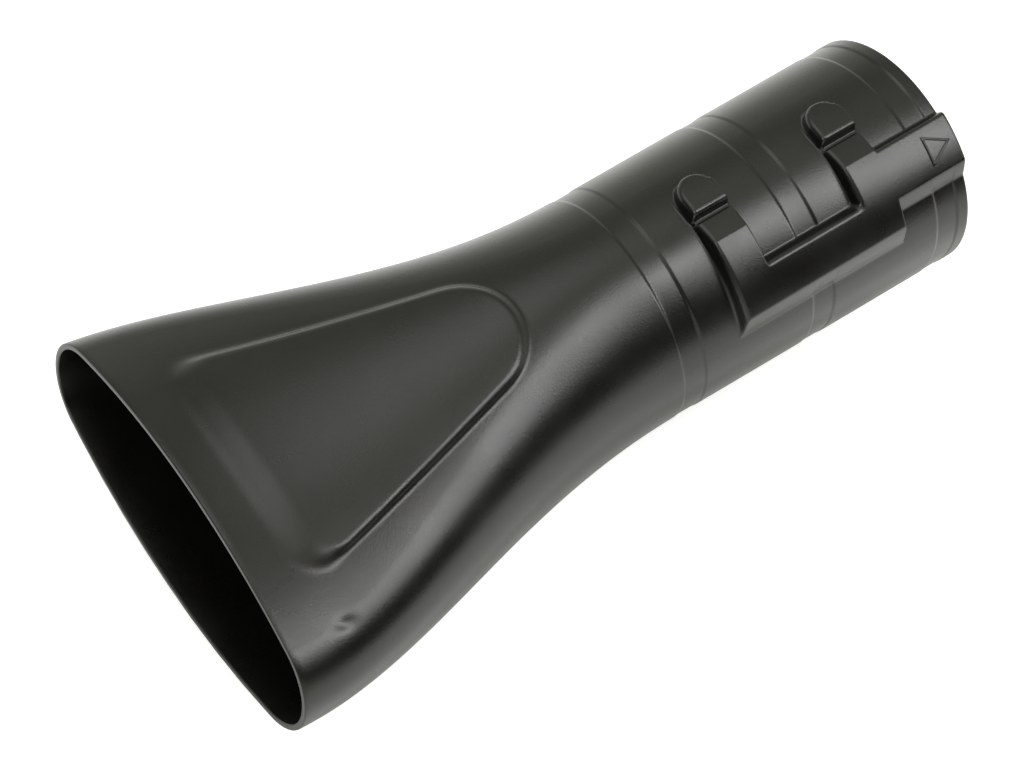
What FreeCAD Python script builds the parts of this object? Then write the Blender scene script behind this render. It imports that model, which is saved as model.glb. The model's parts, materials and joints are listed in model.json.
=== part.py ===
"""A flat fan nozzle tube for a hand-held leaf blower, blown in one piece.

The tube is drawn along +X in its own frame: the socket's open rear end at x = 0, the raised pad on
top (+Z) and the bayonet track on the +Y side. At the end it is laid down the way it rests by itself,
on the belly of the flare. Lengths are in millimetres, angles in degrees from +Y towards +Z.
"""
import FreeCAD, Part
import math
import os
import Sketcher

Vector = FreeCAD.Vector
Rotation = FreeCAD.Rotation
Placement = FreeCAD.Placement
ORIGIN = Vector(0, 0, 0)
X_AXIS = Vector(1, 0, 0)
Y_AXIS = Vector(0, 1, 0)
Z_AXIS = Vector(0, 0, 1)

SIZES = {
    # socket collar
    "wall": 1.8,
    "collar_length": 103.9,
    "collar_rear_radius": 36.7,
    "collar_neck_radius": 35.5,
    # grooves outside, which are sealing ribs inside; the first from the rear end, the last from the neck
    "groove_count": 3,
    "groove_first": 7.9,
    "groove_last": 4.8,
    "groove_width": 8.0,
    "groove_depth": 0.5,
    "groove_flank": 1.2,
    # flare and mouth
    "flare_run": 140.9,
    "flare_rise": 17.5,
    "mouth_half_width": 63.75,
    "mouth_half_height": 23.9,
    "mouth_end_radius": 16.6,
    # bayonet track: a lead-in, a stem and two arms
    "track_height": 3.8,
    "track_end_run": 2.75,
    "lead_in_low_foot": 36.7,
    "lead_in_low_top": 45.0,
    "lead_in_high_top": 65.0,
    "lead_in_high_foot": 68.5,
    "stem_low_foot": 25.0,
    "stem_low_top": 35.0,
    "stem_high_top": 50.0,
    "stem_high_foot": 55.0,
    "arm_width": 15.6,
    "arm_first": 30.4,
    "arm_pitch": 45.4,
    # along an arm: a ramp down to a slot, then the half-round tab
    "ramp_top": 67.0,
    "ramp_foot": 77.2,
    "slot_start": 78.0,
    "slot_end": 79.3,
    "tab_start": 80.9,
    "tab_end": 95.3,
    "tab_foot": 100.4,
    "ramp_fall": 2.0,
    "slot_depth": 2.8,
    # raised pad, with its two ends measured from the neck
    "pad_height": 1.6,
    "pad_rear": 35.6,
    "pad_rear_radius": 17.3,
    "pad_front": 122.1,
    "pad_width": 69.0,
    "pad_corner": 5.7,
    "pad_ramp": 8.0,
    "pad_shift": 1.8,
    "pad_toe": 0.2,
}
FLARE_STATIONS = 5
# Depth of a track wall's root, in track heights, so that it ends well inside the collar.
ROOT = 3
# How far a cutting core runs past the open ends.
OVERRUN = 6
# Passes that bring a section's top to its place.
SHARE_PASSES = 5


def fill_sheet(doc):
    """Write the driving sizes as named cells."""
    sheet = doc.addObject("Spreadsheet::Sheet", "sizes")
    for row, (name, size) in enumerate(SIZES.items(), start=1):
        sheet.set(f"A{row}", name)
        sheet.set(f"B{row}", str(size))
        sheet.setAlias(f"B{row}", name)
    doc.recompute()
    return sheet


class Sizes:
    """The sheet's cells as plain numbers, with the values that follow from them."""

    def __init__(self, sheet):
        for name in SIZES:
            setattr(self, name, float(sheet.get(name)))
        self.taper = (self.collar_rear_radius - self.collar_neck_radius) / self.collar_length
        self.mouth_reach = self.mouth_half_width - self.mouth_end_radius
        drop = self.mouth_half_height - self.mouth_end_radius
        self.mouth_lift = (self.mouth_reach**2 - drop**2) / (2 * drop)
        self.end_arc = math.atan2(self.mouth_lift, self.mouth_reach)
        self.stem_start = self.arm_first - self.arm_width / 2
        self.stem_end = self.arm_first + self.arm_pitch + self.arm_width / 2
        self.track_base = self.collar_rear_radius - self.taper * self.stem_end / 2
        self.track_top = self.track_base + self.track_height


def polar(angle, radius):
    """A point round the tube's axis."""
    turn = math.radians(angle)
    return Vector(0, radius * math.cos(turn), radius * math.sin(turn))


def add_collar(doc, name, inset, overrun):
    """The grooved collar, turned from a sketch of its half section that is bound to the sheet."""
    taper = "(sizes.collar_rear_radius - sizes.collar_neck_radius) / sizes.collar_length"
    pitch = "(sizes.collar_length - sizes.groove_first - sizes.groove_last) / (sizes.groove_count - 1)"

    def cone(x):
        return f"sizes.collar_rear_radius - {taper} * ({x}) - {inset}"

    corners = [(f"-{overrun}", cone(f"-{overrun}"))]
    for number in range(int(SIZES["groove_count"])):
        middle = f"sizes.groove_first + {pitch} * {number}"
        floor = f"{cone(middle)} - sizes.groove_depth"
        rear = f"{middle} - sizes.groove_width / 2"
        front = f"{middle} + sizes.groove_width / 2"
        corners.append((rear, cone(rear)))
        corners.append((f"{rear} + sizes.groove_flank", floor))
        corners.append((f"{front} - sizes.groove_flank", floor))
        corners.append((front, cone(front)))
    corners.append(("sizes.collar_length", cone("sizes.collar_length")))

    # The section is first drawn roughly, and its bound corners then move to their places.
    sketch = doc.addObject("Sketcher::SketchObject", f"{name}_section")
    count = len(corners)
    start = [Vector(step, count, 0) for step in range(count)] + [Vector(count, 0, 0), ORIGIN]
    for a, b in zip(start, start[1:] + start[:1]):
        sketch.addGeometry(Part.LineSegment(a, b))
    for line in range(len(start)):
        follower = (line + 1) % len(start)
        sketch.addConstraint(Sketcher.Constraint("Coincident", line, 2, follower, 1))
    corners.append((corners[-1][0], None))
    corners.append((corners[0][0], None))
    for line, (x, radius) in enumerate(corners):
        place = sketch.addConstraint(Sketcher.Constraint("DistanceX", -1, 1, line, 1, start[line].x + 1))
        sketch.setExpression(f"Constraints[{place}]", f"{x} + {overrun}")
        if radius is None:
            sketch.addConstraint(Sketcher.Constraint("PointOnObject", line, 1, -1))
        else:
            reach = sketch.addConstraint(Sketcher.Constraint("DistanceY", -1, 1, line, 1, start[line].y))
            sketch.setExpression(f"Constraints[{reach}]", radius)
    turned = doc.addObject("Part::Revolution", name)
    turned.Source = sketch
    turned.Axis = X_AXIS
    turned.Base = ORIGIN
    turned.Angle = 360
    turned.Solid = True
    turned.Placement = Placement(Vector(-overrun, 0, 0), Rotation())
    return turned


def ease(share):
    """The flare's blend from circle to mouth: flat at the neck and flat at the mouth."""
    return 2 * share**2 - share**4


def flare_section(size, share, inset):
    """One section of the flare, square to its bent mid-line: two end arcs and two long arcs."""
    blend = ease(share)
    reach = size.mouth_reach * blend
    lift = size.mouth_lift * blend
    neck = size.collar_neck_radius
    end_radius = neck + (size.mouth_end_radius - neck) * blend - inset
    long_radius = neck + (size.mouth_half_height - neck) * blend + lift - inset
    tilt = math.atan2(2 * size.flare_rise * share, size.flare_run)
    middle = Vector(size.collar_length + size.flare_run * share, 0, size.flare_rise * share**2)
    up = Vector(-math.sin(tilt), 0, math.cos(tilt))

    def arc(centre_y, centre_up, radius, start, stop):
        points = []
        for turn in (start, (start + stop) / 2, stop):
            across = Y_AXIS * (centre_y + radius * math.cos(turn))
            points.append(middle + across + up * (centre_up + radius * math.sin(turn)))
        return Part.Arc(*points).toShape()

    end = size.end_arc
    return Part.Wire([
        arc(reach, 0, end_radius, -end, end),
        arc(0, -lift, long_radius, end, math.pi - end),
        arc(-reach, 0, end_radius, math.pi - end, math.pi + end),
        arc(0, lift, long_radius, math.pi + end, 2 * math.pi - end),
    ])


def loft(size, shares, inset):
    """A solid through the flare's sections at the given shares of its run."""
    return Part.makeLoft([flare_section(size, share, inset) for share in shares], True, False, False, 3)


def flare(size, inset, past_mouth):
    """The fan-shaped flare from the neck to the mouth, or past it for a cutting core."""
    shares = [step / FLARE_STATIONS for step in range(FLARE_STATIONS + 1)]
    if past_mouth:
        shares.append(1 + past_mouth / size.flare_run)
    return loft(size, shares, inset)


def rooted(top, foot):
    """The far end of a track wall that goes from a top edge through its foot into the collar."""
    return top + (foot - top) * ROOT


def chain(*parts):
    """A closed wire through single points and three-point arcs, in the order given."""
    edges = []
    for part, follower in zip(parts, parts[1:] + parts[:1]):
        if len(part) > 1:
            edges.append(Part.Arc(*part).toShape())
        edges.append(Part.makeLine(part[-1], follower[0]))
    return Part.Wire(edges)


def crown(start, stop, radius):
    """Three points of an arc round the tube's axis."""
    return polar(start, radius), polar((start + stop) / 2, radius), polar(stop, radius)


def inward(wire, inset):
    """The face inside a closed wire, moved in by the inset."""
    if inset:
        wire = wire.makeOffset2D(-inset, 2)
    return Part.Face(wire)


def end_walls(size, start, stop, inset):
    """A ring whose sloped end faces are the rear and front walls of a piece of the track."""
    slope = size.track_end_run / size.track_height
    low = size.track_base - ROOT * size.track_height
    high = size.track_top + size.track_height / 2
    fall = slope * (size.track_base - low)
    rise = slope * (high - size.track_base)
    corners = [Vector(start - fall, low, 0), Vector(stop + fall, low, 0),
               Vector(stop - rise, high, 0), Vector(start + rise, high, 0)]
    face = inward(Part.makePolygon(corners + corners[:1]), inset)
    return face.revolve(ORIGIN, X_AXIS, 360)


def bar(size, low_foot, low_top, high_top, high_foot, start, stop, inset):
    """A straight piece of the track along the tube, with sloped long walls."""
    top = crown(low_top, high_top, size.track_top)
    low = rooted(top[0], polar(low_foot, size.track_base))
    high = rooted(top[-1], polar(high_foot, size.track_base))
    face = inward(chain((low,), top, (high,)), inset)
    face.translate(X_AXIS * start)
    return face.extrude(X_AXIS * (stop - start))


def arm(size, middle, inset):
    """One arm of the track: a ramp, a slot and a half-round tab, with sloped walls all round."""
    root = (size.stem_low_top + size.stem_high_top) / 2
    top = size.track_top
    tab = crown(size.tab_start, size.tab_end, top)
    face = inward(chain(
        crown(root, size.ramp_top, top),
        (polar(size.ramp_foot, top - size.ramp_fall),),
        (polar(size.slot_start, top - size.slot_depth),),
        (polar(size.slot_end, top - size.slot_depth),),
        tab,
        (rooted(tab[-1], polar(size.tab_foot, size.track_base)),),
        (polar(root, size.track_base / 2),),
    ), inset)
    half = size.arm_width / 2
    face.translate(X_AXIS * (middle - half))
    body = face.extrude(X_AXIS * size.arm_width)
    body = body.common(end_walls(size, middle - half, middle + half, inset))
    foot = polar(size.tab_foot, size.track_base)
    slope = size.track_end_run / size.track_height
    low = ROOT * size.track_height
    high = size.track_height * 3 / 2
    shift = inset * math.hypot(1, slope)
    centre = Vector(middle, foot.y + half + slope * (size.track_base - foot.z), size.track_base - low)
    round_end = Part.makeCone(half + slope * low - shift, half - slope * high - shift, low + high, centre)
    rest = Part.makeBox(size.arm_width, top, 2 * top, Vector(middle - half, centre.y, 0))
    return body.common(round_end.fuse(rest))


def track(size, inset, past_rear):
    """The raised F: a lead-in from the rear end, a stem and two arms."""
    lead_in = bar(size, size.lead_in_low_foot, size.lead_in_low_top, size.lead_in_high_top,
                  size.lead_in_high_foot, -past_rear, size.arm_first, inset)
    stem = bar(size, size.stem_low_foot, size.stem_low_top, size.stem_high_top, size.stem_high_foot,
               size.stem_start, size.stem_end, inset)
    stem = stem.common(end_walls(size, size.stem_start, size.stem_end, inset))
    arms = [arm(size, size.arm_first + size.arm_pitch * number, inset) for number in range(2)]
    return lead_in.multiFuse([stem] + arms)


def pad_outline(size, inset):
    """The pad seen from above: a round rear end, straight sides and rounded front corners."""
    rear_radius = size.pad_rear_radius - inset
    corner_radius = size.pad_corner - inset
    rear = Vector(size.collar_length + size.pad_rear + size.pad_rear_radius, size.pad_shift, 0)
    front = size.collar_length + size.pad_front
    corner = Vector(front - size.pad_corner, size.pad_width / 2 - size.pad_corner, 0)
    reach = math.hypot(corner.x - rear.x, corner.y)
    lean = math.atan2(corner.y, corner.x - rear.x) + math.acos((rear_radius - corner_radius) / reach)
    side = Vector(math.cos(lean), math.sin(lean), 0)
    between = Vector(math.cos(lean / 2), math.sin(lean / 2), 0)

    def mirrored(point):
        return Vector(point.x, 2 * size.pad_shift - point.y, 0)

    near = Vector(corner.x, corner.y + size.pad_shift, 0)
    side_end = near + side * corner_radius
    corner_middle = near + between * corner_radius
    front_end = near + X_AXIS * corner_radius
    rear_end = rear + side * rear_radius
    return Part.Wire([
        Part.Arc(rear_end, rear - X_AXIS * rear_radius, mirrored(rear_end)).toShape(),
        Part.makeLine(mirrored(rear_end), mirrored(side_end)),
        Part.Arc(mirrored(side_end), mirrored(corner_middle), mirrored(front_end)).toShape(),
        Part.makeLine(mirrored(front_end), front_end),
        Part.Arc(front_end, corner_middle, side_end).toShape(),
        Part.makeLine(side_end, rear_end),
    ])


def share_at(size, run):
    """The share of the flare's run whose section has its top at a run past the neck."""
    share = run / size.flare_run
    for _ in range(SHARE_PASSES):
        top = flare_section(size, share, 0).BoundBox.XMin - size.collar_length
        share += (run - top) / size.flare_run
    return share


def pad(size, inset):
    """The raised pad: the flare's own skin, lifted inside the outline, with a long front ramp."""
    rear = share_at(size, size.pad_rear - size.pad_ramp)
    crease = share_at(size, size.pad_front - size.pad_ramp)
    beyond = share_at(size, size.pad_front + size.pad_ramp)
    lift = inset - size.pad_height
    sunk = inset - 2 * size.pad_toe + size.pad_height
    step = (crease - rear) / FLARE_STATIONS
    lifted = loft(size, [rear + step * number for number in range(FLARE_STATIONS + 1)], lift)
    ramp = Part.makeLoft([flare_section(size, crease, lift), flare_section(size, beyond, sunk)], True, True)
    block = Part.Face(pad_outline(size, inset)).extrude(Z_AXIS * 2 * size.collar_rear_radius)
    return lifted.fuse(ramp).common(block)


def add_feature(doc, name, shape):
    feature = doc.addObject("Part::Feature", name)
    feature.Shape = shape
    return feature


def add_form(doc, size, name, inset_cell, inset, overrun):
    """The whole outer form, or with an inset of one wall the hollow inside it."""
    form = doc.addObject("Part::MultiFuse", name)
    form.Shapes = [
        add_collar(doc, f"{name}_collar", inset_cell, overrun),
        add_feature(doc, f"{name}_flare", flare(size, inset, overrun)),
        add_feature(doc, f"{name}_track", track(size, inset, overrun)),
        add_feature(doc, f"{name}_pad", pad(size, inset)),
    ]
    return form


def resting(shape):
    """The placement that lays the tube on its belly, with the middle of its base at the origin.

    In the plane of symmetry the lower wall's hull is searched for the edge that the balance point
    stands over: on that edge the tube comes to rest.
    """
    balance = shape.CenterOfGravity
    points = []
    for wire in shape.slice(Y_AXIS, 0):
        points.extend(point for point in wire.discretize(Distance=1.0) if point.z < balance.z)
    hull = []
    for point in sorted(points, key=lambda p: (p.x, p.z)):
        while len(hull) > 1:
            a, b = hull[-2:]
            if (b.x - a.x) * (point.z - a.z) - (b.z - a.z) * (point.x - a.x) > 0:
                break
            hull.pop()
        hull.append(point)
    edges = [(a, b) for a, b in zip(hull, hull[1:]) if 0 <= (balance - a).dot(b - a) <= (b - a).dot(b - a)]
    rear, front = max(edges, key=lambda edge: edge[0].distanceToPoint(edge[1]))
    turn = Rotation(Y_AXIS, math.degrees(math.atan2(front.z - rear.z, front.x - rear.x)))
    laid = shape.copy()
    laid.Placement = Placement(ORIGIN, turn)
    box = laid.optimalBoundingBox()
    return Placement(Vector(-box.Center.x, -box.Center.y, -box.ZMin), turn)


def check(doc):
    """Stop before anything is written if an object failed."""
    for item in doc.Objects:
        if "Invalid" in item.State or "Error" in item.State:
            raise RuntimeError(f"{item.Name} failed to build")
        if hasattr(item, "Shape") and (item.Shape.isNull() or not item.Shape.isValid()):
            raise RuntimeError(f"{item.Name} has no valid shape")


def main():
    doc = FreeCAD.newDocument("nozzle")
    size = Sizes(fill_sheet(doc))
    skin = add_form(doc, size, "skin", "0", 0.0, 0)
    core = add_form(doc, size, "core", "sizes.wall", size.wall, OVERRUN)
    tube = doc.addObject("Part::Cut", "nozzle_tube")
    tube.Label = "nozzle_tube"
    tube.Base = skin
    tube.Tool = core
    doc.recompute()
    tube.Placement = resting(tube.Shape)
    doc.recompute()
    check(doc)
    os.makedirs("parts", exist_ok=True)
    tube.Shape.exportStep(f"parts/{tube.Label}.step")


main()
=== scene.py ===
"""A blown leaf blower nozzle tube, dressed as it lies on a white table."""
import json
import math

import bpy
import numpy as np
from mathutils import Matrix, Vector


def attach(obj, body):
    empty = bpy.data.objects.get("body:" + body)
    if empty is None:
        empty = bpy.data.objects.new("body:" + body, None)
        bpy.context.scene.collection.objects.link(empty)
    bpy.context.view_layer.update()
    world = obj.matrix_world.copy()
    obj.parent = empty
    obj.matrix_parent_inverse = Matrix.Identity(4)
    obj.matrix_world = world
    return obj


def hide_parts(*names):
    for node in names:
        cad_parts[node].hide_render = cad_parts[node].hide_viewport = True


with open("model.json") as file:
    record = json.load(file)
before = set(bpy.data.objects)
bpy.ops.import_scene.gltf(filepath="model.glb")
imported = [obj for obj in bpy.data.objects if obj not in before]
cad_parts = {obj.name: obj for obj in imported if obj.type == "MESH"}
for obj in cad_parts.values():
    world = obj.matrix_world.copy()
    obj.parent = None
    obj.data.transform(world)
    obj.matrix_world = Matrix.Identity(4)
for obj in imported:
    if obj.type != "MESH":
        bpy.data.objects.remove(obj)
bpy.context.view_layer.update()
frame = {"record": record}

MM = 0.001

# Sizes of the tube in millimetres, close to those of the solid. The tube's own frame has its
# origin at the centre of the collar's rear end, X along the collar and Z up.
WALL = 1.8
EDGE_ROUND = 0.4
COLLAR_LENGTH = 103.9
COLLAR_REAR_RADIUS = 36.7
COLLAR_NECK_RADIUS = 35.5
GROOVE_COUNT = 3
GROOVE_FIRST = 7.9
GROOVE_PITCH = 45.6
GROOVE_WIDTH = 8.0
GROOVE_DEPTH = 0.25
GROOVE_FLANK = 0.9
FLARE_RUN = 140.9
FLARE_RISE = 17.5
MOUTH_HALF_WIDTH = 63.7
MOUTH_HALF_HEIGHT = 23.9
MOUTH_END_RADIUS = 16.6

# The bayonet track, with angles in degrees from +Y towards +Z. A wall is (foot, top).
TRACK_BASE_RADIUS = 36.2
TRACK_TOP_RADIUS = 40.0
TRACK_END_RUN = 2.75
TRACK_FOOT_FILLET = 0.8
TRACK_TOP_FILLET = 1.5
LEAD_IN_LOW = (36.7, 45.0)
LEAD_IN_HIGH = (68.5, 65.0)
STEM_LOW = (20.5, 32.4)
STEM_HIGH = (51.5, 47.4)
INNER_CORNER = 0.8

# The arms of the track. The steeper rear wall goes over into the other walls between two places,
# given as shares of the arm's half width. The tab's edge is (angle, depth) from the slot to its top.
ARM_COUNT = 2
ARM_WIDTH = 15.6
ARM_FIRST = 30.4
ARM_PITCH = 45.4
ARM_REAR_RUN = 1.0
ARM_REAR_TO_END = (-0.6, 0.3)
RAMP_TOP = 66.8
RAMP_FOOT = 77.2
RAMP_FALL = 2.0
SLOT_START = 77.7
SLOT_END = 79.3
SLOT_DEPTH = 2.9
TAB_EDGE = ((80.3, 0.85), (80.7, 0.4), (81.3, 0.12), (82.2, 0.0))
TAB_CENTRE = 88.2

# The raised pad on the flare: its foot and its top edge, each a round rear end and two round
# front corners, given as distance along the tube, distance from the pad's middle and radius.
PAD_HEIGHT = 1.6
PAD_MIDDLE = 1.8
PAD_TOP_MIDDLE = 2.2
PAD_FOOT_REAR = (156.8, 18.6)
PAD_FOOT_CORNER = (219.8, 28.8, 7.0)
PAD_TOP_REAR = (156.8, 15.6)
PAD_TOP_CORNER = (214.2, 27.3, 5.0)
PAD_LEAST_RUN = 0.01

# How softly a sloped wall starts at its foot and ends at its top, as shares of its run.
FACET_ROUND = (0.03, 0.05)
GROOVE_ROUND = (0.4, 0.4)
PAD_ROUND = (0.25, 0.42)

# The moulded arrow on the lead-in: corners (along the tube, angle) and the line's section as
# shares of its width and height.
ARROW_CORNERS = ((10.4, 61.3), (10.4, 49.3), (3.1, 55.5))
ARROW_LINE = 0.75
ARROW_HEIGHT = 0.3
ARROW_SECTION = ((0.5, -0.3), (0.5, 0.6), (0.3, 1.0), (-0.3, 1.0), (-0.5, 0.6), (-0.5, -0.3))

# A small dent that the near side has close to the mouth: place, reach and depth.
DENT_PLACE = (224.4, 51.6)
DENT_REACH = (1.8, 1.1)
DENT_DEPTH = 0.35

# Points of the mesh, as joined spans of (start, end, largest step): stations along the skin and
# along the inside in millimetres, and angles round the tube in degrees. Steps are fine at walls.
SKIN_SPANS = (
    (1, 3.4, 0.7), (3.4, 5.2, 0.2), (5.2, 10.6, 1.0), (10.6, 12.4, 0.2), (12.4, 22, 1.2),
    (22, 26, 0.22), (26, 35, 1.0), (35, 39, 0.22), (39, 49, 1.2), (49, 50.8, 0.2),
    (50.8, 56.2, 1.0), (56.2, 58, 0.2), (58, 67.5, 1.2), (67.5, 71, 0.22), (71, 80.5, 1.0),
    (80.5, 84.2, 0.22), (84.2, 94.6, 1.5), (94.6, 96.4, 0.2), (96.4, 101.8, 1.0),
    (101.8, 103.6, 0.2), (103.6, 136, 2.0), (136, 150, 0.7), (150, 212, 1.8),
    (212, 238, 0.9), (238, 244, 1.3),
)
LINING_SPANS = (
    (4, 22, 3.0), (22, 26.5, 0.75), (26.5, 34.5, 4.0), (34.5, 39, 0.75), (39, 67, 7.0),
    (67, 71.5, 0.75), (71.5, 80, 4.0), (80, 84.5, 0.75), (84.5, 106, 3.0), (106, 242, 6.0),
)
ANGLE_SPANS = (
    (15, 20, 1.2), (20, 30, 0.9), (30, 34, 0.35), (34, 45, 0.9), (45, 54, 0.35), (54, 64, 0.9),
    (64, 72, 0.35), (72, 81.5, 0.3), (81.5, 93, 0.65), (93, 108, 0.5), (108, 375, 4.2),
)
FILLET_POINTS = 12
EDGE_POINTS = 4
ARROW_SIDE_POINTS = 8

# Black polyethylene: the two colours it is mottled with, its gloss, the mould's grain and the
# slow unevenness of the wall.
PLASTIC_DARK = (0.0026, 0.0026, 0.0022)
PLASTIC_PALE = (0.0038, 0.0037, 0.0032)
PLASTIC_IOR = 1.5
PLASTIC_ROUGHNESS = 0.28
ROUGHNESS_SPREAD = 0.03
MOTTLE_RANGE = (0.3, 0.7)
GRAIN_SCALE = 2300.0
GRAIN_DETAIL = 3.0
GRAIN_STRENGTH = 0.34
GRAIN_HEIGHT = 0.0001
UNEVEN_SCALE = 60.0
UNEVEN_DETAIL = 4.0
UNEVEN_SHARE = 0.25

# The table and what stands round it, in metres. Paper and cloth are (grey, roughness, gloss).
TABLE_SIZE = 8.0
TABLE_PAPER = (0.8, 0.9, 0.1)
TABLE_GLOW = 0.6
# Painted shadow: the sheet's corners, height and paper paint the tube's contact shadow on the floor
# into the tube's reflections.
SHADOW_CARD_CORNERS = ((-0.2, 0.0), (0.15, 0.0), (0.15, 0.080), (-0.2, 0.047))
SHADOW_CARD_HEIGHT = 0.0002
SHADOW_CARD_PAPER = (0.85, 1.0, 0.0)
SCREEN_CLOTH = (0.005, 1.0, 0.0)

# Each screen: name, size, place and turn in degrees.
SCREENS = (
    ("side_screen", (2.4, 0.52), (-0.424, 0.75, 0.35), (90, -45, 0)),
    ("front_screen", (1.4, 0.6), (0.85, 0.1, 0.3), (90, 0, 90)),
)

# Each lamp: name, the place along the tube that it shines on in metres, the direction to it,
# its distance, its size and its power in watts.
LAMPS = (
    ("key_light", 0.110, (-0.419, 0.432, 0.799), 0.9, (0.22, 0.64), 3.6),
    ("front_light", 0.060, (0.62, 0.18, 0.75), 1.0, (0.3, 0.3), 1.6),
    ("top_light", 0.150, (0.08, -0.33, 0.94), 1.0, (0.7, 0.45), 1.3),
)

# The room's light from the horizon (0) to straight up (1), as (height, grey).
ROOM_GREYS = ((0.0, 1.0), (0.25, 0.92), (0.42, 0.74), (0.55, 0.54), (0.72, 0.5), (0.85, 0.75),
              (1.0, 0.95))
ROOM_BLUE_SHARE = 0.88

# The camera, found from the tube's rings and outlines in the photograph: places in millimetres
# of the tube's frame.
CAMERA_STAND = (329.17, 253.08, 529.69)
CAMERA_AIM = (140.0, 4.24, 0.0)
CAMERA_UP = (-0.4806, -0.7151, 0.5076)
CAMERA_LENS = 76.899
CAMERA_SENSOR = 36.0


def knee(t, soft):
    """Zero below 0 and t above it, with the corner rounded over soft on each side."""
    return np.where(t < -soft, 0.0, np.where(t > soft, t, (t + soft) ** 2 / (4 * soft)))


def wall_rise(t, foot, top):
    """Height share of a sloped wall from t = 0 to t = 1, with its foot and top edge rounded."""
    corner = 1.0 - top
    return (knee(t, foot) - knee(t - corner, top)) / corner


def upright_wall():
    """Places and height shares of the track's upright wall, with a fillet at its foot and top."""
    height = TRACK_TOP_RADIUS - TRACK_BASE_RADIUS
    quarter = np.linspace(0.0, math.pi / 2, FILLET_POINTS)
    run = np.concatenate([TRACK_FOOT_FILLET * np.sin(quarter),
                          TRACK_END_RUN - TRACK_TOP_FILLET * np.cos(quarter)])
    rise = np.concatenate([TRACK_FOOT_FILLET * (1 - np.cos(quarter)),
                           height - TRACK_TOP_FILLET * (1 - np.sin(quarter))])
    return run / TRACK_END_RUN, rise / height


WALL_PLACES, WALL_SHARES = upright_wall()


def join(a, b, soft):
    """The higher of two fields, with a fillet where they meet."""
    near = np.clip(soft - np.abs(a - b), 0.0, None) / soft
    return np.maximum(a, b) + near * near * soft / 4


def low_wall(angle, wall):
    """Wall field of a low wall: 0 on its foot and 1 on its top edge.

    The low wall is a flat facet, so its place in the field is the one that the upright wall
    has at the facet's height.
    """
    facet = (angle - wall[0]) / (wall[1] - wall[0])
    on_facet = np.interp(wall_rise(facet, *FACET_ROUND), WALL_SHARES, WALL_PLACES)
    return np.where((facet > 0) & (facet < 1), on_facet, facet)


def high_wall(angle, wall):
    """Wall field of a high wall: 0 on its foot and 1 on its top edge."""
    return (wall[0] - angle) / (wall[0] - wall[1])


def grooves(x):
    """How far the shallow grooves go in at a distance x along the collar."""
    depth = 0.0
    for number in range(GROOVE_COUNT):
        inside = GROOVE_WIDTH / 2 - abs(x - GROOVE_FIRST - number * GROOVE_PITCH)
        share = wall_rise(np.asarray(inside / GROOVE_FLANK), *GROOVE_ROUND)
        depth += GROOVE_DEPTH * float(share)
    return depth


def arm(x, angle, middle):
    """Wall field of one arm, which has a half-round end and a steeper wall on its rear side."""
    past = np.radians(np.clip(angle - TAB_CENTRE, 0.0, None)) * TRACK_BASE_RADIUS
    side = ARM_WIDTH / 2 - np.hypot(x - middle, past)
    across = (x - middle) / (ARM_WIDTH / 2)
    run = np.interp(across, ARM_REAR_TO_END, (ARM_REAR_RUN, TRACK_END_RUN))
    return 1.0 + (side - TRACK_END_RUN) / run


def arm_dip(angle):
    """How far an arm's top goes down: a long ramp, a narrow slot and the wall of the tab."""
    places, depths = zip((RAMP_TOP, 0.0), (RAMP_FOOT, RAMP_FALL), (SLOT_START, SLOT_DEPTH),
                         (SLOT_END, SLOT_DEPTH), *TAB_EDGE)
    return np.interp(angle, places, depths)


def track(x, angle):
    """Wall field of the whole bayonet track: 0 on its foot, 1 and more on its top."""
    arms = [ARM_FIRST + number * ARM_PITCH for number in range(ARM_COUNT)]
    before_arm = 1.0 + (arms[0] - x) / TRACK_END_RUN
    past_arm = 1.0 + (x - arms[0] + ARM_WIDTH / 2 - TRACK_END_RUN) / ARM_REAR_RUN
    within_arms = 1.0 + min(x - arms[0], arms[-1] - x) / TRACK_END_RUN
    low = join(np.minimum(low_wall(angle, LEAD_IN_LOW), before_arm),
               np.minimum(low_wall(angle, STEM_LOW), past_arm), INNER_CORNER)
    high = join(np.minimum(high_wall(angle, LEAD_IN_HIGH), before_arm),
                np.minimum(high_wall(angle, STEM_HIGH), within_arms), INNER_CORNER)
    for middle in arms:
        high = join(high, arm(x, angle, middle), INNER_CORNER)
    return np.minimum(low, high)


def collar_ring(x, angles, inset):
    """Points of the collar at x, on the skin or under it by inset."""
    turn = np.radians(angles)
    taper = (COLLAR_NECK_RADIUS - COLLAR_REAR_RADIUS) * x / COLLAR_LENGTH
    bare = COLLAR_REAR_RADIUS + taper - grooves(x)
    share = np.interp(track(x, angles), WALL_PLACES, WALL_SHARES)
    radius = bare + share * (TRACK_TOP_RADIUS - arm_dip(angles) - bare) - inset
    return np.stack([np.full_like(turn, x), radius * np.cos(turn), radius * np.sin(turn)], axis=1)


def inside_outline(x, y, rear, corner):
    """Distance inside the pad's outline, from its round rear end, sides, corners and front."""
    rear_x, rear_radius = rear
    corner_x, corner_y, corner_radius = corner
    y = np.abs(y)
    lean = math.atan2(corner_y, corner_x - rear_x) + math.acos(
        (rear_radius - corner_radius) / math.hypot(corner_x - rear_x, corner_y))
    out = (math.cos(lean), math.sin(lean))
    forward = (math.sin(lean), -math.cos(lean))
    side = rear_radius - (x - rear_x) * out[0] - y * out[1]
    front = corner_x + corner_radius - x
    behind = (x - rear_x) * forward[0] + y * forward[1] < 0
    ahead = ((x - corner_x) * forward[0] + (y - corner_y) * forward[1] > 0) & (y > corner_y)
    inside = np.minimum(side, front)
    inside = np.where(behind, rear_radius - np.hypot(x - rear_x, y), inside)
    return np.where(ahead, corner_radius - np.hypot(x - corner_x, y - corner_y), inside)


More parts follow.
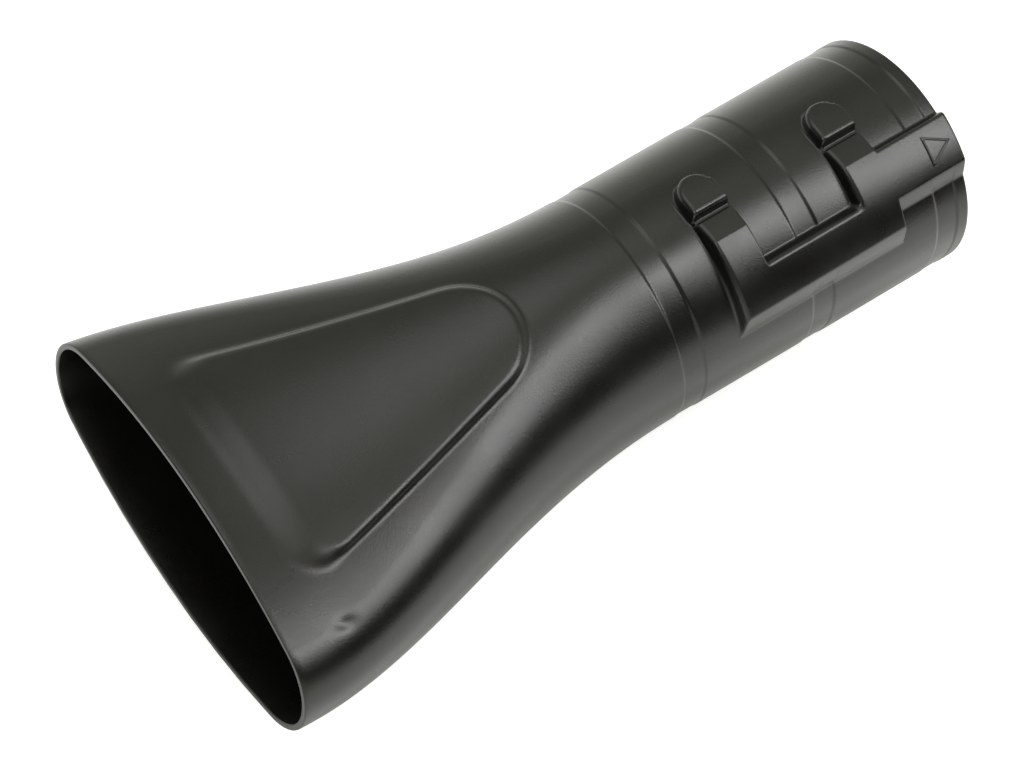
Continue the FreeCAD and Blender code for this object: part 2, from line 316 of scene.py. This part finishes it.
def pad(x, y):
    """How far the pad stands out at a place on the top of the flare."""
    from_foot = inside_outline(x, y - PAD_MIDDLE, PAD_FOOT_REAR, PAD_FOOT_CORNER)
    past_top = -inside_outline(x, y - PAD_TOP_MIDDLE, PAD_TOP_REAR, PAD_TOP_CORNER)
    across = np.clip(from_foot, 0.0, None) + np.clip(past_top, 0.0, None)
    return PAD_HEIGHT * wall_rise(from_foot / np.maximum(across, PAD_LEAST_RUN), *PAD_ROUND)


def dent(x, y):
    """How far the small dent goes in at a place on the top of the flare."""
    along = (x - DENT_PLACE[0]) / DENT_REACH[0]
    across = (y - DENT_PLACE[1]) / DENT_REACH[1]
    return DENT_DEPTH * np.exp(-(along ** 2 + across ** 2) / 2)


def flare_section(along, turn, out):
    """Points of the flare's four-arc section at a share of its run, moved outwards by out."""
    blend = 2 * along ** 2 - along ** 4
    mouth_reach = MOUTH_HALF_WIDTH - MOUTH_END_RADIUS
    drop = MOUTH_HALF_HEIGHT - MOUTH_END_RADIUS
    mouth_lift = (mouth_reach ** 2 - drop ** 2) / (2 * drop)
    reach = mouth_reach * blend
    lift = mouth_lift * blend
    end_radius = COLLAR_NECK_RADIUS + (MOUTH_END_RADIUS - COLLAR_NECK_RADIUS) * blend + out
    half_height = COLLAR_NECK_RADIUS + (MOUTH_HALF_HEIGHT - COLLAR_NECK_RADIUS) * blend
    long_radius = half_height + lift + out
    on_end = np.abs(np.sin(turn)) < math.sin(math.atan2(mouth_lift, mouth_reach))
    across = np.where(on_end, np.sign(np.cos(turn)) * reach + end_radius * np.cos(turn),
                      long_radius * np.cos(turn))
    up = np.where(on_end, end_radius * np.sin(turn),
                  long_radius * np.sin(turn) - np.sign(np.sin(turn)) * lift)
    tilt = math.atan2(2 * FLARE_RISE * along, FLARE_RUN)
    x = COLLAR_LENGTH + FLARE_RUN * along - up * math.sin(tilt)
    z = FLARE_RISE * along ** 2 + up * math.cos(tilt)
    return np.stack([x, across, z], axis=1)


def flare_ring(run, angles, inset):
    """Points of the flare at a run past the collar, on the skin or under it by inset."""
    turn = np.radians(angles)
    x, y, _ = flare_section(run / FLARE_RUN, turn, np.zeros_like(turn)).T
    raised = np.where(np.sin(turn) > 0, pad(x, y) - dent(x, y), 0.0)
    return flare_section(run / FLARE_RUN, turn, raised - inset)


def spread(spans):
    """Values over joined spans of (start, end, largest step), without the last end."""
    values = []
    for start, end, step in spans:
        values.extend(np.linspace(start, end, math.ceil((end - start) / step), endpoint=False))
    return np.array(values)


def rounded_edge(end, inward, inset, outward):
    """Stations and insets round one edge of an open end, from the skin onto the cut face."""
    turns = np.linspace(0.0, math.pi / 2, EDGE_POINTS)
    return [(end + inward * EDGE_ROUND * (1 - math.sin(turn)),
             inset + outward * EDGE_ROUND * (1 - math.cos(turn))) for turn in turns]


def tube_rows():
    """Stations and insets of the rings, once round the wall: rear end, skin, mouth, inside."""
    tube_end = COLLAR_LENGTH + FLARE_RUN
    rear_inside = rounded_edge(0.0, 1, WALL, -1)
    rear_outside = rounded_edge(0.0, 1, 0.0, 1)[::-1]
    skin = [(x, 0.0) for x in spread(SKIN_SPANS)]
    mouth_outside = rounded_edge(tube_end, -1, 0.0, 1)
    mouth_inside = rounded_edge(tube_end, -1, WALL, -1)[::-1]
    lining = [(x, WALL) for x in spread(LINING_SPANS)[::-1]]
    return rear_inside + rear_outside + skin + mouth_outside + mouth_inside + lining


def add_object(name, data):
    """A new object in the scene."""
    thing = bpy.data.objects.new(name, data)
    bpy.context.collection.objects.link(thing)
    return thing


def mesh_piece(name, points, faces):
    """A smooth mesh object from points in millimetres of the tube's frame."""
    mesh = bpy.data.meshes.new(name)
    mesh.from_pydata((np.asarray(points) * MM).tolist(), [], np.asarray(faces).tolist())
    mesh.polygons.foreach_set("use_smooth", np.ones(len(mesh.polygons), dtype=bool))
    mesh.update()
    return add_object(name, mesh)


def closed_grid(rows, columns):
    """Faces of a grid of points whose last row and column join the first."""
    row, column = np.meshgrid(np.arange(rows), np.arange(columns), indexing="ij")
    next_row = (row + 1) % rows
    next_column = (column + 1) % columns
    corners = (row * columns + column, next_row * columns + column,
               next_row * columns + next_column, row * columns + next_column)
    return np.stack(corners, axis=-1).reshape(-1, len(corners))


def make_tube():
    """The whole shell as one closed mesh."""
    angles = spread(ANGLE_SPANS)
    rings = []
    for x, inset in tube_rows():
        if x <= COLLAR_LENGTH:
            rings.append(collar_ring(x, angles, inset))
        else:
            rings.append(flare_ring(x - COLLAR_LENGTH, angles, inset))
    return mesh_piece("nozzle_shell", np.concatenate(rings), closed_grid(len(rings), len(angles)))


def make_arrow():
    """The arrow outline that stands on the lead-in and points to the rear end."""
    unrolled = TRACK_TOP_RADIUS * math.radians(1.0)
    corners = np.array([(x, angle * unrolled) for x, angle in ARROW_CORNERS])
    onward = np.roll(corners, -1, axis=0)
    opposite = np.linalg.norm(onward - np.roll(corners, 1, axis=0), axis=1)
    centre = (corners * opposite[:, None]).sum(axis=0) / opposite.sum()
    a, b = corners[1] - corners[0], corners[2] - corners[0]
    inner_radius = abs(a[0] * b[1] - a[1] * b[0]) / opposite.sum()
    steps = np.linspace(0.0, 1.0, ARROW_SIDE_POINTS, endpoint=False)[:, None]
    loop = np.concatenate([start + (end - start) * steps for start, end in zip(corners, onward)])
    rows = []
    for offset, height in ARROW_SECTION:
        flat = centre + (loop - centre) * (1.0 + offset * ARROW_LINE / inner_radius)
        turn = flat[:, 1] / TRACK_TOP_RADIUS
        radius = TRACK_TOP_RADIUS + height * ARROW_HEIGHT
        rows.append(np.stack([flat[:, 0], radius * np.cos(turn), radius * np.sin(turn)], axis=1))
    return mesh_piece("arrow_outline", np.concatenate(rows), closed_grid(len(rows), len(loop)))


def tube_place():
    """Matrix from the tube's frame to the row's frame, from the socket at the first groove."""
    socket = frame["record"]["mounts"][0]
    along = -Vector(socket["axis"]).normalized()
    side = Vector((0.0, 1.0, 0.0))
    up = along.cross(side)
    origin = Vector(socket["pos_m"]) - along * GROOVE_FIRST * MM
    turn = Matrix((along, side, up)).transposed().to_4x4()
    return Matrix.Translation(origin) @ turn


def group_socket(group, name, direction, value=None):
    """Add one named number socket to a shader node group."""
    socket = group.interface.new_socket(name=name, in_out=direction, socket_type="NodeSocketFloat")
    if value is not None:
        socket.default_value = value


def moulded_grain():
    """Group: fine spark grain of the mould and slow unevenness of the blown wall."""
    group = bpy.data.node_groups.new("moulded_grain", "ShaderNodeTree")
    group_socket(group, "Grain Scale", "INPUT", GRAIN_SCALE)
    group_socket(group, "Unevenness", "INPUT", UNEVEN_SHARE)
    group_socket(group, "Height", "OUTPUT")
    group_socket(group, "Mottle", "OUTPUT")
    nodes, links = group.nodes, group.links
    given = nodes.new("NodeGroupInput")
    made = nodes.new("NodeGroupOutput")
    where = nodes.new("ShaderNodeTexCoord")
    grain = nodes.new("ShaderNodeTexNoise")
    grain.inputs["Detail"].default_value = GRAIN_DETAIL
    slow = nodes.new("ShaderNodeTexNoise")
    slow.inputs["Scale"].default_value = UNEVEN_SCALE
    slow.inputs["Detail"].default_value = UNEVEN_DETAIL
    both = nodes.new("ShaderNodeMath")
    both.operation = "MULTIPLY_ADD"
    links.new(where.outputs["Object"], grain.inputs["Vector"])
    links.new(where.outputs["Object"], slow.inputs["Vector"])
    links.new(given.outputs["Grain Scale"], grain.inputs["Scale"])
    links.new(slow.outputs["Fac"], both.inputs[0])
    links.new(given.outputs["Unevenness"], both.inputs[1])
    links.new(grain.outputs["Fac"], both.inputs[2])
    links.new(both.outputs["Value"], made.inputs["Height"])
    links.new(slow.outputs["Fac"], made.inputs["Mottle"])
    return group


def plastic(name, grain_group):
    """Black polyethylene with a mottled colour, uneven gloss and moulded grain."""
    material = bpy.data.materials.new(name)
    material.use_nodes = True
    nodes, links = material.node_tree.nodes, material.node_tree.links
    shader = nodes["Principled BSDF"]
    shader.inputs["IOR"].default_value = PLASTIC_IOR
    grain = nodes.new("ShaderNodeGroup")
    grain.node_tree = grain_group
    colour = nodes.new("ShaderNodeMix")
    colour.data_type = "RGBA"
    colour.inputs["A"].default_value = (*PLASTIC_DARK, 1.0)
    colour.inputs["B"].default_value = (*PLASTIC_PALE, 1.0)
    gloss = nodes.new("ShaderNodeMapRange")
    gloss.inputs["From Min"].default_value, gloss.inputs["From Max"].default_value = MOTTLE_RANGE
    gloss.inputs["To Min"].default_value = PLASTIC_ROUGHNESS - ROUGHNESS_SPREAD
    gloss.inputs["To Max"].default_value = PLASTIC_ROUGHNESS + ROUGHNESS_SPREAD
    relief = nodes.new("ShaderNodeBump")
    relief.inputs["Strength"].default_value = GRAIN_STRENGTH
    relief.inputs["Distance"].default_value = GRAIN_HEIGHT
    links.new(grain.outputs["Mottle"], colour.inputs["Factor"])
    links.new(colour.outputs["Result"], shader.inputs["Base Color"])
    links.new(grain.outputs["Mottle"], gloss.inputs["Value"])
    links.new(gloss.outputs["Result"], shader.inputs["Roughness"])
    links.new(grain.outputs["Height"], relief.inputs["Height"])
    links.new(relief.outputs["Normal"], shader.inputs["Normal"])
    return material


def matt(name, grey, roughness, gloss):
    """A plain grey paper or cloth."""
    material = bpy.data.materials.new(name)
    material.use_nodes = True
    shader = material.node_tree.nodes["Principled BSDF"]
    shader.inputs["Base Color"].default_value = (grey, grey, grey, 1.0)
    shader.inputs["Roughness"].default_value = roughness
    shader.inputs["Specular IOR Level"].default_value = gloss
    return material


def ray_is(nodes, links, *kinds):
    """Output that is 1 for rays of the given kinds and 0 for all others."""
    path = nodes.new("ShaderNodeLightPath")
    found = path.outputs[kinds[0]]
    for kind in kinds[1:]:
        either = nodes.new("ShaderNodeMath")
        either.operation = "MAXIMUM"
        links.new(found, either.inputs[0])
        links.new(path.outputs[kind], either.inputs[1])
        found = either.outputs["Value"]
    return found


def only_mirrored(piece):
    """Keep a piece out of the picture and off the table, so that only the plastic mirrors it."""
    piece.visible_camera = False
    piece.visible_diffuse = False
    piece.visible_shadow = False


def white_table():
    """Floor: white paper that keeps a soft shadow and stays white in the picture."""
    bpy.ops.mesh.primitive_plane_add(size=TABLE_SIZE)
    table = bpy.context.object
    table.name = "white_table"
    paper = matt("white_paper", *TABLE_PAPER)
    nodes, links = paper.node_tree.nodes, paper.node_tree.links
    shader = nodes["Principled BSDF"]
    shader.inputs["Emission Color"].default_value = (1.0, 1.0, 1.0, 1.0)
    glow = nodes.new("ShaderNodeMath")
    glow.operation = "MULTIPLY"
    glow.inputs[1].default_value = TABLE_GLOW
    seen = ray_is(nodes, links, "Is Camera Ray", "Is Glossy Ray", "Is Transmission Ray")
    links.new(seen, glow.inputs[0])
    links.new(glow.outputs["Value"], shader.inputs["Emission Strength"])
    table.data.materials.append(paper)


def dark_screen(name, size, location, turn):
    """A matt black screen beside the table, which gives the tube a dark reflection."""
    bpy.ops.mesh.primitive_plane_add(size=1.0)
    screen = bpy.context.object
    screen.name = name
    screen.scale = (*size, 1.0)
    screen.rotation_euler = [math.radians(angle) for angle in turn]
    screen.location = location
    only_mirrored(screen)
    screen.data.materials.append(matt(name, *SCREEN_CLOTH))


def painted_shadow_card():
    """Painted shadow: paper without the table's glow under the tube's near side, seen only in the
    tube's reflections.

    It paints the contact shadow that the tube casts on the floor close to it, which the plastic
    mirrors.
    """
    mesh = bpy.data.meshes.new("painted_shadow_card")
    corners = [(x, y, SHADOW_CARD_HEIGHT) for x, y in SHADOW_CARD_CORNERS]
    mesh.from_pydata(corners, [], [tuple(range(len(corners)))])
    shadow_sheet = add_object("painted_shadow_card", mesh)
    only_mirrored(shadow_sheet)
    shadow_sheet.data.materials.append(matt("painted_shadow_paper", *SHADOW_CARD_PAPER))


def soft_box(name, over, direction, distance, size, power):
    """A large soft lamp at a distance from a place on the tube, turned to it."""
    lamp = bpy.data.lights.new(name, "AREA")
    lamp.shape = "RECTANGLE"
    lamp.size, lamp.size_y = size
    lamp.energy = power
    holder = add_object(name, lamp)
    holder.location = over + Vector(direction).normalized() * distance
    holder.rotation_euler = (over - holder.location).to_track_quat("-Z", "Y").to_euler()


def room_light():
    """A pale room with a white ceiling and greyer walls, and a white background in the picture."""
    world = bpy.data.worlds.new("pale_room")
    bpy.context.scene.world = world
    world.use_nodes = True
    nodes, links = world.node_tree.nodes, world.node_tree.links
    ray = nodes.new("ShaderNodeTexCoord")
    parts = nodes.new("ShaderNodeSeparateXYZ")
    walls = nodes.new("ShaderNodeValToRGB")
    greys = walls.color_ramp.elements
    while len(greys) < len(ROOM_GREYS):
        greys.new(0.5)
    for element, (height, grey) in zip(greys, ROOM_GREYS):
        element.position = height
        element.color = (grey, grey, ROOM_BLUE_SHARE * grey, 1.0)
    colour = nodes.new("ShaderNodeMix")
    colour.data_type = "RGBA"
    colour.inputs["B"].default_value = (1.0, 1.0, 1.0, 1.0)
    links.new(ray.outputs["Generated"], parts.inputs["Vector"])
    links.new(parts.outputs["Z"], walls.inputs["Fac"])
    links.new(walls.outputs["Color"], colour.inputs["A"])
    links.new(ray_is(nodes, links, "Is Camera Ray", "Is Transmission Ray"), colour.inputs["Factor"])
    links.new(colour.outputs["Result"], nodes["Background"].inputs["Color"])


def picture_camera(place):
    """Camera at the photograph's place."""
    data = bpy.data.cameras.new("picture_camera")
    data.sensor_fit = "HORIZONTAL"
    data.sensor_width = CAMERA_SENSOR
    data.lens = CAMERA_LENS
    camera = add_object("picture_camera", data)
    stand = place @ (Vector(CAMERA_STAND) * MM)
    aim = place @ (Vector(CAMERA_AIM) * MM)
    up = place.to_3x3() @ Vector(CAMERA_UP)
    back = (stand - aim).normalized()
    right = up.cross(back).normalized()
    turn = Matrix((right, back.cross(right), back)).transposed().to_4x4()
    camera.matrix_world = Matrix.Translation(stand) @ turn
    bpy.context.scene.camera = camera


place = tube_place()
picture_camera(place)
shell_finish = plastic("satin_black_plastic", moulded_grain())

shell = make_tube()
arrow = make_arrow()
for piece in (shell, arrow):
    piece.data.transform(place)
    piece.data.materials.append(shell_finish)
    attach(piece, "root")
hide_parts("nozzle_tube")

white_table()
for name, size, location, turn in SCREENS:
    dark_screen(name, size, location, turn)
# Painted shadow: a sheet without glow, seen only in reflections, stands in for the floor's contact
# shadow.
painted_shadow_card()
for name, along, direction, distance, size, power in LAMPS:
    soft_box(name, place @ Vector((along, 0.0, 0.0)), direction, distance, size, power)
room_light()
bpy.context.scene.view_settings.view_transform = "Standard"
